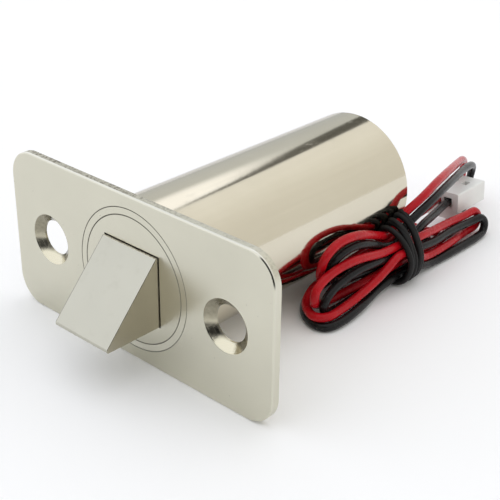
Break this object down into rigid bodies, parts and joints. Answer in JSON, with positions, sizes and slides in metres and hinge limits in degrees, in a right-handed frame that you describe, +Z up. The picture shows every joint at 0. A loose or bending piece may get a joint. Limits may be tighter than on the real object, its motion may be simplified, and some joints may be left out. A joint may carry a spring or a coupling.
{
  "type": "solenoid lock",
  "caption": "Round-bodied solenoid lock: slanted spring bolt, rounded face plate with countersunk screw holes, and a tied twin lead ending in a small white plug.",
  "frame": {"origin": "midway between the two screw holes, on the face plate's back (mounting) face", "axes": "+Y along the tube towards its rear end, +Z up across the plate, +X along the plate; the bolt comes out towards -Y"},
  "size_m": [0.06, 0.1079, 0.029],
  "materials": {
    "satin_nickel": "satin nickel plate",
    "polished_nickel": "polished nickel plate",
    "cap_nickel": "satin nickel plate",
    "bolt_steel": "satin nickel plate, cooler grey",
    "soft_iron": "turned",
    "pin_steel": "ground",
    "spring_steel": "drawn wire",
    "brass": "drawn tube",
    "bobbin_nylon": "moulded",
    "copper_wire": "enamelled copper wire",
    "coil_tape": "insulating tape",
    "rear_nickel": "nickel plate, turned",
    "screw_zinc": "zinc plate",
    "grommet_rubber": "matt",
    "red_insulation": "glossy wire insulation",
    "black_insulation": "glossy wire insulation",
    "tie_covering": "soft black covering",
    "plug_nylon": "natural nylon",
    "tinned_contact": "tin plate"
  },
  "bodies": {
    "lock_body": {"face_plate": "satin_nickel", "body_tube": "polished_nickel", "guide_cap": "cap_nickel", "return_spring": "spring_steel", "front_pole": "soft_iron", "guide_tube": "brass", "coil_bobbin": "bobbin_nylon", "coil_winding": "copper_wire", "winding_tape": "coil_tape", "fixed_core": "soft_iron", "rear_cap": "rear_nickel", "core_screw": "screw_zinc", "lead_grommet": "grommet_rubber", "red_lead": "red_insulation", "black_lead": "black_insulation", "lead_hank": "black_insulation", "tie_wire": "tie_covering", "red_tail": "red_insulation", "black_tail": "black_insulation", "plug_housing": "plug_nylon", "plug_contacts": "tinned_contact"},
    "bolt": {"latch_bolt": "bolt_steel", "plunger": "soft_iron", "plunger_pin": "pin_steel"}
  },
  "joints": [
    {"name": "bolt_slide", "type": "slide", "parent": "lock_body", "child": "bolt", "axis": [0, 1, 0], "range_m": [0, 0.0105], "stiffness_N_per_m": 250, "springref_m": -0.01, "deforming": ["return_spring"]}
  ]
}
